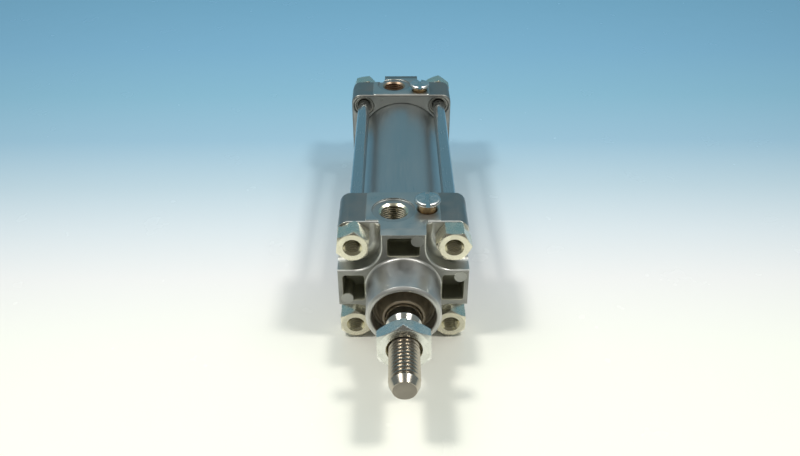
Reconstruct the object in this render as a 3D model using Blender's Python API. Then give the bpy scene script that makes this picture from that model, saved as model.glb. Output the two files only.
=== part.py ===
"""Tie-rod pneumatic cylinder, 32 mm bore and 50 mm stroke, lying on the corners of its lower tie-rod nuts.

The rod points along -Y. Stations along the cylinder are world Y values, and every round piece is
turned about an axis through its own object's origin.
"""

import math

import bmesh
import bpy

MM = 0.001

# Overall layout
COVER_SIZE = 45.0 * MM
HALF = COVER_SIZE / 2
TIE_PITCH = 34.0 * MM
TIE = TIE_PITCH / 2
TIE_NUT_FLATS = 10.6 * MM
AXIS_Z = TIE + TIE_NUT_FLATS / math.sqrt(3)
ROD_TIP_TO_FACE = 47.4 * MM
FRONT_LENGTH = 26.5 * MM
REAR_LENGTH = 22.2 * MM
BETWEEN_COVERS = 83.5 * MM
OVERALL = ROD_TIP_TO_FACE + FRONT_LENGTH + BETWEEN_COVERS + REAR_LENGTH
FRONT_FACE = -OVERALL / 2 + ROD_TIP_TO_FACE
FRONT_TUBE_FACE = FRONT_FACE + FRONT_LENGTH
REAR_TUBE_FACE = FRONT_TUBE_FACE + BETWEEN_COVERS
REAR_FACE = REAR_TUBE_FACE + REAR_LENGTH

# Covers
CORNER_RADIUS = 4.0 * MM
FACE_EDGE = 0.3 * MM
TUBE_EDGE = 0.6 * MM
NOTCH_WALL = 7.6 * MM
NOTCH_RADIUS = 9.4 * MM
NOTCH_FILLET = 3.0 * MM
FRONT_NOTCH_DEPTH = 7.7 * MM
REAR_NOTCH_DEPTH = 7.2 * MM
POCKET_INNER = 13.4 * MM
POCKET_OUTER = 20.8 * MM
POCKET_HALF = 5.4 * MM
POCKET_DEPTH = 8.5 * MM
PIN_PAD_RADIUS = 2.1 * MM
COLLAR_RADIUS = 12.6 * MM
COLLAR_BORE = 10.7 * MM
COLLAR_LENGTH = 15.5 * MM
WIPER_SEAT = -8.0 * MM
CHAMBER_START = 12.0 * MM
CHAMBER_RADIUS = 9.2 * MM
REAR_CHAMBER_END = 5.2 * MM
CENTRING_RADIUS = 12.5 * MM
CENTRING_DEPTH = 2.0 * MM
SPIGOT_RADIUS = 15.8 * MM
SPIGOT_LENGTH = 4.5 * MM
TUBE_SEAT = 2.4 * MM
PAD_HALF = 12.8 * MM
PAD_HEIGHT = 0.3 * MM

# Ports and cushion screws, from the outer face of each cover
PORT_X = -3.3 * MM
FRONT_PORT = 14.6 * MM
REAR_PORT = 11.2 * MM
PORT_SPOTFACE = 7.6 * MM
PORT_MAJOR = 4.86 * MM
PORT_MINOR = 4.28 * MM
PORT_PITCH = 0.907 * MM
PORT_TURNS = 7
SCREW_X = 8.4 * MM
FRONT_SCREW = 15.2 * MM
REAR_SCREW = 16.7 * MM
SCREW_HOLE = 3.35 * MM
SCREW_STEM = 3.1 * MM
SCREW_HEAD = 4.55 * MM
FRONT_SCREW_RISE = 4.7 * MM
REAR_SCREW_RISE = 3.6 * MM

# Barrel, tie rods and nuts
TUBE_OUTER = 18.5 * MM
BORE = 16.0 * MM
TIE_ROD_RADIUS = 2.65 * MM
TIE_NUT_BORE = 2.75 * MM
TIE_NUT_SHANK = 4.2 * MM
TIE_NUT_SHANK_LENGTH = 7.6 * MM
TIE_ROD_SETBACK = 8.0 * MM

# Rod, jam nut and piston
ROD_RADIUS = 6.0 * MM
ROD_SHOULDER = 19.7 * MM
THREAD_START = 21.2 * MM
THREAD_RADIUS = 4.95 * MM
THREAD_ROOT = 4.1 * MM
THREAD_PITCH = 1.5 * MM
ROD_SPIGOT = 5.0 * MM
BUSH_OUTER = 8.0 * MM
JAM_NUT_FLATS = 17.0 * MM
JAM_NUT_THICKNESS = 5.0 * MM
JAM_NUT_BACK = 25.6 * MM
JAM_NUT_BORE = 5.1 * MM
STROKE = 50.0 * MM
END_GAP = 0.3 * MM
PISTON_RADIUS = 15.7 * MM
SEAL_RADIUS = 15.9 * MM
BOSS_RADIUS = 8.2 * MM
BOSS_LENGTH = 13.9 * MM
SLIDE_RADIUS = 6.08 * MM
GAP = 0.3 * MM
FIT = 0.1 * MM

PISTON_REAR = REAR_TUBE_FACE - SPIGOT_LENGTH - END_GAP
PISTON_FRONT = FRONT_TUBE_FACE + SPIGOT_LENGTH + END_GAP + STROKE

SMOOTH_ANGLE = math.radians(32)
FINE = 48
MEDIUM = 32
SMALL = 24
TIE_STEPS = 16

CORNERS = {
    "top_left": (-1, 1),
    "top_right": (1, 1),
    "bottom_left": (-1, -1),
    "bottom_right": (1, -1),
}
FRONT_NUT_TURN = {"top_left": 28, "top_right": -1, "bottom_left": 30, "bottom_right": 30}
REAR_NUT_TURN = {"top_left": 10, "top_right": 23, "bottom_left": 30, "bottom_right": 30}


def clear_scene():
    for item in list(bpy.data.objects):
        bpy.data.objects.remove(item, do_unlink=True)


def material(name, colour, roughness, metallic):
    made = bpy.data.materials.new(name)
    made.use_nodes = True
    shader = made.node_tree.nodes["Principled BSDF"]
    shader.inputs["Base Color"].default_value = (*colour, 1.0)
    shader.inputs["Roughness"].default_value = roughness
    shader.inputs["Metallic"].default_value = metallic
    made.diffuse_color = (*colour, 1.0)
    return made


def link_mesh(name, bm, origin, look):
    """Closes a bmesh into a named object with its faces turned outwards."""
    bmesh.ops.recalc_face_normals(bm, faces=bm.faces)
    mesh = bpy.data.meshes.new(name)
    bm.to_mesh(mesh)
    bm.free()
    made = bpy.data.objects.new(name, mesh)
    made.location = origin
    bpy.context.scene.collection.objects.link(made)
    if look:
        mesh.materials.append(look)
    return made


def finish(obj):
    obj.data.shade_smooth()
    obj.data.set_sharp_from_angle(angle=SMOOTH_ANGLE)
    return obj


def combine(target, tool, operation):
    """Applies one boolean to the target's mesh and removes the tool."""
    modifier = target.modifiers.new("combine", "BOOLEAN")
    modifier.operation = operation
    modifier.solver = "EXACT"
    modifier.object = tool
    graph = bpy.context.evaluated_depsgraph_get()
    result = bpy.data.meshes.new_from_object(target.evaluated_get(graph))
    target.modifiers.clear()
    old = target.data
    target.data = result
    result.name = target.name
    bpy.data.meshes.remove(old)
    bpy.data.objects.remove(tool, do_unlink=True)


def cut(target, tool):
    combine(target, tool, "DIFFERENCE")


def fuse(target, tool):
    combine(target, tool, "UNION")


def bridge(bm, first, second):
    """Joins two rings of vertices; a ring of one vertex is a point on the axis."""
    count = max(len(first), len(second))
    first = first * count if len(first) == 1 else first
    second = second * count if len(second) == 1 else second
    for i in range(count):
        j = (i + 1) % count
        corners = list(dict.fromkeys((first[i], first[j], second[j], second[i])))
        if len(corners) > 2:
            bm.faces.new(corners)


def ring(bm, radius, station, steps, along):
    points = []
    for i in range(steps if radius > 0 else 1):
        turn = 2 * math.pi * i / steps
        across, up = radius * math.cos(turn), radius * math.sin(turn)
        points.append(bm.verts.new((across, station, up) if along == "Y" else (across, up, station)))
    return points


def turned_into(bm, profile, steps, along="Y"):
    """Turns (radius, station) points; a profile that never meets the axis closes on itself as a ring."""
    rings = [ring(bm, radius, station, steps, along) for radius, station in profile]
    on_axis = profile[0][0] == 0 and profile[-1][0] == 0
    for first, second in zip(rings, rings[1:] + ([] if on_axis else rings[:1])):
        bridge(bm, first, second)


def turned(name, profile, steps, origin, look=None, along="Y"):
    bm = bmesh.new()
    turned_into(bm, profile, steps, along)
    return link_mesh(name, bm, origin, look)


def loft_into(bm, outlines):
    rows = [[bm.verts.new(point) for point in outline] for outline in outlines]
    for first, second in zip(rows, rows[1:]):
        bridge(bm, first, second)
    bm.faces.new(rows[0])
    bm.faces.new(rows[-1])


def lofted(name, outlines, origin, look=None):
    bm = bmesh.new()
    loft_into(bm, outlines)
    return link_mesh(name, bm, origin, look)


def rounded_box(left, right, low, high, radius, steps=4):
    """Points round a rectangle with rounded corners, as pairs."""
    corners = [(right, high, 0), (left, high, 90), (left, low, 180), (right, low, 270)]
    points = []
    for x, z, start in corners:
        centre_x = x - radius if x == right else x + radius
        centre_z = z - radius if z == high else z + radius
        for i in range(steps + 1):
            turn = math.radians(start + 90 * i / steps)
            points.append((centre_x + radius * math.cos(turn), centre_z + radius * math.sin(turn)))
    return points


def box(name, left, right, near, far, low, high, origin):
    outline = [(left, low), (right, low), (right, high), (left, high)]
    return lofted(name, [[(x, y, z) for x, z in outline] for y in (near, far)], origin)


class Cover:
    """One cast cover, with depths counted from its outer face towards the tube."""

    def __init__(self, name, face, inward, length, look):
        self.name = name
        self.face = face
        self.inward = inward
        self.length = length
        self.look = look
        self.origin = (0, 0, AXIS_Z)
        self.body = None

    def y(self, depth):
        return self.face + self.inward * depth

    def stack(self, layers):
        """Lofts (depth, outline) layers lying across the cylinder's axis."""
        outlines = [[(x, self.y(depth), z) for x, z in outline] for depth, outline in layers]
        return lofted(self.name + "_tool", outlines, self.origin)

    def lathe(self, profile, steps, x=0.0, z=0.0):
        stations = [(radius, self.y(depth)) for radius, depth in profile]
        origin = (x, 0, AXIS_Z + z)
        return turned(self.name + "_tool", stations, steps, origin)

    def block(self):
        def square(inset):
            size = HALF - inset
            return rounded_box(-size, size, -size, size, CORNER_RADIUS - inset)

        layers = [
            (0, square(FACE_EDGE)),
            (FACE_EDGE, square(0)),
            (self.length - TUBE_EDGE, square(0)),
            (self.length - TUBE_EDGE * 0.3, square(TUBE_EDGE * 0.3)),
            (self.length, square(TUBE_EDGE)),
        ]
        self.body = self.stack(layers)
        self.body.name = self.name
        self.body.data.materials.append(self.look)

    def spigot(self):
        seat = self.length - TUBE_SEAT
        beyond = self.length + 1 * MM
        inner, outer = SPIGOT_RADIUS - 2 * MM, TUBE_OUTER + GAP
        cut(self.body, self.lathe([(inner, seat), (outer, seat), (outer, beyond), (inner, beyond)], MEDIUM))
        end = self.length + SPIGOT_LENGTH
        edge = 0.4 * MM
        outside = [(0, 14 * MM), (SPIGOT_RADIUS, 14 * MM), (SPIGOT_RADIUS, end - edge)]
        fuse(self.body, self.lathe([*outside, (SPIGOT_RADIUS - edge, end), (0, end)], MEDIUM))
        near, far = self.length + 1.1 * MM, self.length + 3.3 * MM
        bottom, top = SPIGOT_RADIUS - 1.8 * MM, SPIGOT_RADIUS + 1 * MM
        cut(self.body, self.lathe([(bottom, near), (top, near), (top, far), (bottom, far)], MEDIUM))

    def top_pad(self):
        near, far = 9.0 * MM, self.length - 1.1 * MM
        low, high = HALF - 1 * MM, HALF + PAD_HEIGHT

        def outline(inset, level):
            ends = sorted((self.y(near + inset), self.y(far - inset)))
            pairs = rounded_box(-PAD_HALF + inset, PAD_HALF - inset, *ends, 1.2 * MM - inset)
            return [(x, y, level) for x, y in pairs]

        levels = [(0, low), (0, HALF + 0.03 * MM), (PAD_HEIGHT, high)]
        pad = lofted(self.name + "_tool", [outline(*level) for level in levels], self.origin)
        fuse(self.body, pad)

    def notches(self, depth):
        """Cuts the four corner seats for the tie-rod nuts, each with a filleted floor."""
        for across, up in CORNERS.values():
            layers = []
            shape = [(-1 * MM, -0.35 * MM), (-0.05 * MM, -0.35 * MM), (0.35 * MM, 0)]
            for i in range(4):
                turn = math.pi / 6 * i
                inset = NOTCH_FILLET * (1 - math.cos(turn))
                shape.append((depth - NOTCH_FILLET * (1 - math.sin(turn)), inset))
            for station, inset in shape:
                wall = NOTCH_WALL + inset
                pairs = rounded_box(wall, HALF + 9 * MM, wall, HALF + 9 * MM, NOTCH_RADIUS - inset, 5)
                layers.append((station, [(across * x, up * z) for x, z in pairs]))
            cut(self.body, self.stack(layers))

    def pockets(self, top_depth):
        """Cuts one pocket into each arm of the face, leaving a round ejector-pin pad in a corner."""
        sides = [
            (lambda x, z: (x, z), top_depth),
            (lambda x, z: (z, x), POCKET_DEPTH),
            (lambda x, z: (-x, -z), POCKET_DEPTH),
            (lambda x, z: (-z, -x), POCKET_DEPTH),
        ]
        for placed, depth in sides:
            layers = []
            flare = -0.3 * MM
            walls = [(-1 * MM, flare), (-0.05 * MM, flare), (0.3 * MM, 0), (depth, 0.3 * MM)]
            for station, inset in walls:
                half = POCKET_HALF - inset
                pairs = rounded_box(-half, half, POCKET_INNER + inset, POCKET_OUTER - inset, 1.1 * MM, 3)
                layers.append((station, [placed(x, z) for x, z in pairs]))
            tool = self.stack(layers)
            x, z = placed(POCKET_HALF - 0.8 * MM, POCKET_OUTER - 1.3 * MM)
            near, far = 0.2 * MM, depth + 1 * MM
            pad = [(0, near), (PIN_PAD_RADIUS, near), (PIN_PAD_RADIUS, far), (0, far)]
            cut(tool, self.lathe(pad, TIE_STEPS, x, z))
            cut(self.body, tool)

    def tie_holes(self, notch):
        shank = TIE_NUT_SHANK + GAP
        floor = notch + TIE_NUT_SHANK_LENGTH + GAP
        clear = TIE_ROD_RADIUS + GAP
        ring_floor = self.length - 0.9 * MM
        ring_radius = 4.6 * MM
        beyond = self.length + 1 * MM
        steps = [(0, notch - 2 * MM), (shank, notch - 2 * MM), (shank, floor), (clear, floor)]
        steps += [(clear, ring_floor), (ring_radius, ring_floor), (ring_radius, beyond), (0, beyond)]
        for across, up in CORNERS.values():
            cut(self.body, self.lathe(steps, TIE_STEPS, across * TIE, up * TIE))

    def port(self, depth):
        """Cuts the spotface and the parallel pipe thread down to the air chamber."""
        top = HALF + 2 * MM
        floor = HALF - 0.35 * MM
        profile = [(0, top), (PORT_SPOTFACE, top), (PORT_SPOTFACE, floor), (PORT_MAJOR + 0.3 * MM, floor)]
        level = floor - 0.6 * MM
        for _ in range(PORT_TURNS):
            profile.append((PORT_MINOR, level))
            profile.append((PORT_MAJOR, level - PORT_PITCH / 2))
            level -= PORT_PITCH
        bottom = CHAMBER_RADIUS - 2.5 * MM
        profile += [(PORT_MINOR, level), (PORT_MINOR, bottom), (0, bottom)]
        origin = (PORT_X, self.y(depth), AXIS_Z)
        cut(self.body, turned(self.name + "_tool", profile, SMALL, origin, along="Z"))

    def screw_hole(self, depth):
        top = HALF + 2 * MM
        mouth = SCREW_HOLE + 0.5 * MM
        levels = [(0, top), (mouth, top), (mouth, HALF + PAD_HEIGHT + 0.1 * MM)]
        levels += [(SCREW_HOLE, HALF - 0.3 * MM)]
        levels += [(SCREW_HOLE, 17.2 * MM), (1.7 * MM, 17.2 * MM), (1.7 * MM, 12.2 * MM)]
        levels += [(0.8 * MM, 11.2 * MM), (0.8 * MM, 7.5 * MM), (0, 7.5 * MM)]
        origin = (SCREW_X, self.y(depth), AXIS_Z)
        cut(self.body, turned(self.name + "_tool", levels, SMALL, origin, along="Z"))

    def cushion_groove(self):
        near, far = self.length - 0.5 * MM, self.length + 2.1 * MM
        low, high = CHAMBER_RADIUS - 1 * MM, CHAMBER_RADIUS + 1.7 * MM
        cut(self.body, self.lathe([(low, near), (high, near), (high, far), (low, far)], SMALL))


def front_cover(look):
    cover = Cover("front_cover", FRONT_FACE, 1, FRONT_LENGTH, look)
    cover.block()
    mouth = -COLLAR_LENGTH
    collar = [
        (0, 2 * MM),
        (14.2 * MM, 2 * MM),
        (14.2 * MM, 0.5 * MM),
        (13.2 * MM, -0.5 * MM),
        (COLLAR_RADIUS, mouth + 0.8 * MM),
        (COLLAR_RADIUS - 0.7 * MM, mouth),
        (0, mouth),
    ]
    fuse(cover.body, cover.lathe(collar, FINE))
    cover.spigot()
    cover.top_pad()
    end = FRONT_LENGTH + SPIGOT_LENGTH + 1 * MM
    bush = BUSH_OUTER + FIT
    bores = [
        (0, mouth - 1 * MM),
        (COLLAR_BORE + 0.5 * MM, mouth - 1 * MM),
        (COLLAR_BORE + 0.5 * MM, mouth - 0.1 * MM),
        (COLLAR_BORE, mouth + 0.4 * MM),
        (COLLAR_BORE, WIPER_SEAT),
        (bush, WIPER_SEAT),
        (bush, CHAMBER_START),
        (CHAMBER_RADIUS, CHAMBER_START),
        (CHAMBER_RADIUS, end),
        (0, end),
    ]
    cut(cover.body, cover.lathe(bores, MEDIUM))
    cover.cushion_groove()
    slope = [(-1 * MM, HALF - 0.5 * MM), (3.4 * MM, HALF + 0.04 * MM)]
    slope += [(3.4 * MM, HALF + 1 * MM), (-1 * MM, HALF + 1 * MM)]
    sides = [[(x, cover.y(depth), z) for depth, z in slope] for x in (-9 * MM, 9 * MM)]
    cut(cover.body, lofted("slope_tool", sides, cover.origin))
    cover.pockets(POCKET_DEPTH)
    cover.notches(FRONT_NOTCH_DEPTH)
    cover.tie_holes(FRONT_NOTCH_DEPTH)
    cover.port(FRONT_PORT)
    cover.screw_hole(FRONT_SCREW)
    return finish(cover.body)


def rear_cover(look):
    cover = Cover("rear_cover", REAR_FACE, -1, REAR_LENGTH, look)
    cover.block()
    cover.spigot()
    cover.top_pad()
    end = REAR_LENGTH + SPIGOT_LENGTH + 1 * MM
    chamber = [(0, REAR_CHAMBER_END), (CHAMBER_RADIUS, REAR_CHAMBER_END), (CHAMBER_RADIUS, end), (0, end)]
    cut(cover.body, cover.lathe(chamber, SMALL))
    cover.cushion_groove()
    centring = [
        (0, -1 * MM),
        (CENTRING_RADIUS + 0.5 * MM, -1 * MM),
        (CENTRING_RADIUS + 0.5 * MM, -0.1 * MM),
        (CENTRING_RADIUS, 0.4 * MM),
        (CENTRING_RADIUS, CENTRING_DEPTH),
        (0, CENTRING_DEPTH),
    ]
    cut(cover.body, cover.lathe(centring, MEDIUM))
    cover.pockets(REAR_PORT - 6 * MM)
    cover.notches(REAR_NOTCH_DEPTH)
    cover.tie_holes(REAR_NOTCH_DEPTH)
    cover.port(REAR_PORT)
    cover.screw_hole(REAR_SCREW)
    return finish(cover.body)


def hollow(outer, inner, near, far, edge=0.0):
    """Profile of a plain ring, with its outer corners cut by edge."""
    return [
        (inner, near),
        (outer - edge, near),
        (outer, near + edge),
        (outer, far - edge),
        (outer - edge, far),
        (inner, far),
    ]


def barrel_tube(look):
    near = FRONT_TUBE_FACE - TUBE_SEAT + GAP
    far = REAR_TUBE_FACE + TUBE_SEAT - GAP
    lead = 0.5 * MM
    profile = [(BORE + lead, near), (TUBE_OUTER, near), (TUBE_OUTER, far), (BORE + lead, far)]
    profile += [(BORE, far - lead), (BORE, near + lead)]
    return finish(turned("barrel_tube", profile, FINE, (0, 0, AXIS_Z), look))


def tie_rods(look):
    near, far = FRONT_FACE + TIE_ROD_SETBACK, REAR_FACE - TIE_ROD_SETBACK
    end_radius = TIE_NUT_BORE - FIT
    thread = 9.0 * MM
    profile = [
        (0, near),
        (end_radius - 0.4 * MM, near),
        (end_radius, near + 0.4 * MM),
        (end_radius, near + thread),
        (TIE_ROD_RADIUS, near + thread + 0.1 * MM),
        (TIE_ROD_RADIUS, far - thread - 0.1 * MM),
        (end_radius, far - thread),
        (end_radius, far - 0.4 * MM),
        (end_radius - 0.4 * MM, far),
        (0, far),
    ]
    for corner, (across, up) in CORNERS.items():
        origin = (across * TIE, 0, AXIS_Z + up * TIE)
        finish(turned("tie_rod_" + corner, profile, TIE_STEPS, origin, look))


def hexagon(flats, station):
    radius = flats / math.sqrt(3)
    turns = [math.radians(60 * i) for i in range(6)]
    return [(radius * math.cos(turn), station, radius * math.sin(turn)) for turn in turns]


def hex_blank(name, flats, near, far, chamfer_near, chamfer_far, look):
    """A hexagon along Y with its corners turned down at the chosen ends."""
    made = lofted(name, [hexagon(flats, near), hexagon(flats, far)], (0, 0, 0), look)
    corner = flats / math.sqrt(3) + 0.3 * MM
    face = flats / 2 * 0.97
    drop = (corner - face) * math.tan(math.radians(33))
    beyond = 1 * MM
    start = [(0, near), (face, near), (corner, near + drop)]
    end = [(corner, far - drop), (face, far), (0, far)]
    if not chamfer_near:
        start = [(0, near - beyond), (corner, near - beyond)]
    if not chamfer_far:
        end = [(corner, far + beyond), (0, far + beyond)]
    profile = start + end
    combine(made, turned(name + "_tool", profile, SMALL, (0, 0, 0)), "INTERSECT")
    return made


def tie_nut_mesh(name, head, look):
    """A long nut whose shank enters the cover: head from 0 to -head, opening towards -Y."""
    nut = hex_blank(name, TIE_NUT_FLATS, -head, 0, True, False, look)
    end = TIE_NUT_SHANK_LENGTH
    shank = [(0, -1 * MM), (TIE_NUT_SHANK, -1 * MM), (TIE_NUT_SHANK, end), (0, end)]
    fuse(nut, turned(name + "_tool", shank, 12, (0, 0, 0)))
    mouth = 3.25 * MM
    bore = [(0, -head - 1 * MM), (mouth, -head - 1 * MM), (mouth, -head), (TIE_NUT_BORE, -head + 0.5 * MM)]
    bore += [(TIE_NUT_BORE, end + 1 * MM), (0, end + 1 * MM)]
    cut(nut, turned(name + "_tool", bore, TIE_STEPS, (0, 0, 0)))
    return finish(nut)


def tie_nuts(prefix, face, inward, notch, turns, look):
    """Four nuts in the corner seats of one cover."""
    head = notch - GAP - 0.2 * MM
    pattern = tie_nut_mesh(prefix, head, look)
    for corner, (across, up) in CORNERS.items():
        nut = bpy.data.objects.new(prefix + corner, pattern.data.copy())
        nut.data.name = nut.name
        nut.location = (across * TIE, face + inward * (notch - GAP), AXIS_Z + up * TIE)
        spin = math.radians(-turns[corner] * inward)
        nut.rotation_mode = "ZYX" if inward > 0 else "XYZ"
        nut.rotation_euler = (0, spin, 0 if inward > 0 else math.pi)
        bpy.context.scene.collection.objects.link(nut)
    bpy.data.objects.remove(pattern, do_unlink=True)


def piston_rod(look):
    """Ground rod with a threaded nose, and a spigot behind that carries the piston."""
    bm = bmesh.new()
    tip = FRONT_FACE - ROD_TIP_TO_FACE
    back = PISTON_REAR + BOSS_LENGTH - 2 * MM
    shoulder = FRONT_FACE - ROD_SHOULDER
    thread_end = FRONT_FACE - THREAD_START
    core = [
        (0, tip),
        (3.7 * MM, tip),
        (4.8 * MM, tip + 1.2 * MM),
        (4.8 * MM, tip + 2.0 * MM),
        (THREAD_ROOT + 0.02 * MM, tip + 2.5 * MM),
        (THREAD_ROOT + 0.02 * MM, thread_end - 0.4 * MM),
        (5.0 * MM, thread_end),
        (ROD_RADIUS, shoulder),
        (ROD_RADIUS, PISTON_FRONT),
        (ROD_SPIGOT, PISTON_FRONT + 0.1 * MM),
        (ROD_SPIGOT, back - 0.5 * MM),
        (ROD_SPIGOT - 0.5 * MM, back),
        (0, back),
    ]
    turned_into(bm, core, SMALL)
    rod = link_mesh("piston_rod", bm, (0, 0, AXIS_Z), look)
    fuse(rod, thread_ridge(tip + 2.3 * MM, thread_end - 0.2 * MM))
    return finish(rod)


def thread_ridge(near, far):
    """The helical ridge of the nose thread, as one coil that tapers away at both ends."""
    bm = bmesh.new()
    steps = TIE_STEPS
    turns = (far - near) / THREAD_PITCH - 1
    count = round(turns * steps)
    sunk = THREAD_ROOT - 0.25 * MM
    half = THREAD_PITCH * 0.46
    rows = []
    for i in range(count + 1):
        turn = 2 * math.pi * i / steps
        centre = near + THREAD_PITCH * (0.5 + i / steps)
        fade = min(1.0, i / (steps / 3), (count - i) / (steps / 3))
        crest = THREAD_ROOT + (THREAD_RADIUS - THREAD_ROOT) * max(fade, 0.05)
        section = [(sunk, centre - half), (crest, centre), (sunk, centre + half)]
        rows.append([bm.verts.new((r * math.sin(turn), y, r * math.cos(turn))) for r, y in section])
    for first, second in zip(rows, rows[1:]):
        bridge(bm, first, second)
    bm.faces.new(rows[0])
    bm.faces.new(rows[-1])
    return link_mesh("thread_tool", bm, (0, 0, AXIS_Z), None)


def rod_jam_nut(look):
    back = FRONT_FACE - JAM_NUT_BACK
    front = back - JAM_NUT_THICKNESS
    nut = hex_blank("rod_jam_nut", JAM_NUT_FLATS, front, back, True, True, look)
    mouth = 5.6 * MM
    step = 0.5 * MM
    bore = [
        (0, front - 1 * MM),
        (mouth, front - 1 * MM),
        (mouth, front),
        (JAM_NUT_BORE, front + step),
        (JAM_NUT_BORE, back - step),
        (mouth, back),
        (mouth, back + 1 * MM),
        (0, back + 1 * MM),
    ]
    cut(nut, turned("nut_tool", bore, MEDIUM, (0, 0, 0)))
    turn_mesh(nut, math.radians(-32))
    nut.location = (0, 0, AXIS_Z)
    return finish(nut)


def turn_mesh(obj, angle):
    cos, sin = math.cos(angle), math.sin(angle)
    for vertex in obj.data.vertices:
        x, y, z = vertex.co
        vertex.co = (x * cos + z * sin, y, z * cos - x * sin)


def rod_bush(look):
    near = FRONT_FACE + WIPER_SEAT + 0.3 * MM
    far = FRONT_FACE + CHAMBER_START - 0.3 * MM
    profile = hollow(BUSH_OUTER, SLIDE_RADIUS, near, far)
    return finish(turned("rod_bush", profile, MEDIUM, (0, 0, AXIS_Z), look))


def rod_wiper_seal(look):
    """Ring pressed in the collar, with a cone-shaped lip reaching forward along the rod."""
    mouth = FRONT_FACE - COLLAR_LENGTH
    seat = FRONT_FACE + WIPER_SEAT - 0.1 * MM
    outer = COLLAR_BORE - FIT
    profile = [
        (SLIDE_RADIUS, seat - 1.2 * MM),
        (SLIDE_RADIUS + 0.6 * MM, seat),
        (outer, seat),
        (outer, seat - 2.6 * MM),
        (outer - 0.6 * MM, seat - 2.6 * MM),
        (outer - 1.2 * MM, seat - 1.8 * MM),
        (8.6 * MM, seat - 2.2 * MM),
        (7.1 * MM, mouth + 0.3 * MM),
        (6.75 * MM, mouth - 0.2 * MM),
        (6.3 * MM, mouth - 0.2 * MM),
        (SLIDE_RADIUS, mouth + 0.3 * MM),
        (SLIDE_RADIUS, mouth + 1.2 * MM),
        (6.6 * MM, mouth + 2.6 * MM),
        (6.6 * MM, seat - 2.4 * MM),
    ]
    return finish(turned("rod_wiper_seal", profile, MEDIUM, (0, 0, AXIS_Z), look))


SEAL_GROOVES = ((2.5 * MM, 6.5 * MM), (17.4 * MM, 21.4 * MM))
GUIDE_GROOVE = (9.5 * MM, 14.4 * MM)
SEAL_GROOVE_RADIUS = 12.6 * MM
GUIDE_GROOVE_RADIUS = 14.3 * MM


def piston(look):
    start, end = PISTON_FRONT + FIT, PISTON_REAR
    edge = 0.6 * MM
    outside = [(ROD_SPIGOT + FIT, start), (PISTON_RADIUS - edge, start), (PISTON_RADIUS, start + edge)]
    grooves = [(*SEAL_GROOVES[0], SEAL_GROOVE_RADIUS), (*GUIDE_GROOVE, GUIDE_GROOVE_RADIUS)]
    grooves.append((*SEAL_GROOVES[1], SEAL_GROOVE_RADIUS))
    for near, far, radius in grooves:
        outside += [(PISTON_RADIUS, PISTON_FRONT + near), (radius, PISTON_FRONT + near)]
        outside += [(radius, PISTON_FRONT + far), (PISTON_RADIUS, PISTON_FRONT + far)]
    outside += [(PISTON_RADIUS, end - edge), (PISTON_RADIUS - edge, end), (ROD_SPIGOT + FIT, end)]
    return finish(turned("piston", outside, SMALL, (0, 0, AXIS_Z), look))


def piston_seals(look):
    for name, (near, far), facing in zip(("front", "rear"), SEAL_GROOVES, (1, -1)):
        first, last = PISTON_FRONT + near + FIT, PISTON_FRONT + far - FIT
        lip, heel = (first, last) if facing > 0 else (last, first)
        inner = SEAL_GROOVE_RADIUS + 0.2 * MM
        middle = (first + last) / 2
        profile = [
            (inner, heel),
            (PISTON_RADIUS - 0.2 * MM, heel),
            (PISTON_RADIUS - 0.2 * MM, middle),
            (SEAL_RADIUS, lip + 0.6 * facing * MM),
            (SEAL_RADIUS - 0.5 * MM, lip),
            (14.2 * MM, middle - 0.3 * facing * MM),
            (inner, lip),
        ]
        finish(turned("piston_seal_" + name, profile, SMALL, (0, 0, AXIS_Z), look))


def piston_guide_ring(look):
    near, far = PISTON_FRONT + GUIDE_GROOVE[0] + FIT, PISTON_FRONT + GUIDE_GROOVE[1] - FIT
    profile = hollow(SEAL_RADIUS, GUIDE_GROOVE_RADIUS + FIT, near, far)
    return finish(turned("piston_guide_ring", profile, SMALL, (0, 0, AXIS_Z), look))


def cushion_bosses(look):
    far = PISTON_FRONT - FIT
    near = far - BOSS_LENGTH
    front = [
        (SLIDE_RADIUS, near),
        (BOSS_RADIUS - 0.9 * MM, near),
        (BOSS_RADIUS, near + 2 * MM),
        (BOSS_RADIUS, far),
        (SLIDE_RADIUS, far),
    ]
    finish(turned("cushion_boss_front", front, SMALL, (0, 0, AXIS_Z), look))
    near, far = PISTON_REAR + FIT, PISTON_REAR + BOSS_LENGTH
    floor = far - 2 * MM + 0.3 * MM
    rear = [
        (0, floor),
        (ROD_SPIGOT + FIT, floor),
        (ROD_SPIGOT + FIT, near),
        (BOSS_RADIUS, near),
        (BOSS_RADIUS, far - 2 * MM),
        (BOSS_RADIUS - 0.9 * MM, far),
        (0, far),
    ]
    finish(turned("cushion_boss_rear", rear, SMALL, (0, 0, AXIS_Z), look))


def cover_rings(look):
    """The barrel O-ring and the cushion seal that each cover's spigot carries."""
    for name, face, outward in (("front", FRONT_TUBE_FACE, 1), ("rear", REAR_TUBE_FACE, -1)):
        ends = sorted((face + outward * 1.2 * MM, face + outward * 3.2 * MM))
        barrel = hollow(BORE - 0.05 * MM, SPIGOT_RADIUS - 1.6 * MM, *ends)
        finish(turned("barrel_seal_" + name, barrel, MEDIUM, (0, 0, AXIS_Z), look))
        ends = sorted((face - outward * 0.4 * MM, face + outward * 2.0 * MM))
        cushion = hollow(CHAMBER_RADIUS + 1.5 * MM, BOSS_RADIUS + 0.15 * MM, *ends)
        finish(turned("cushion_seal_" + name, cushion, SMALL, (0, 0, AXIS_Z), look))


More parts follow.
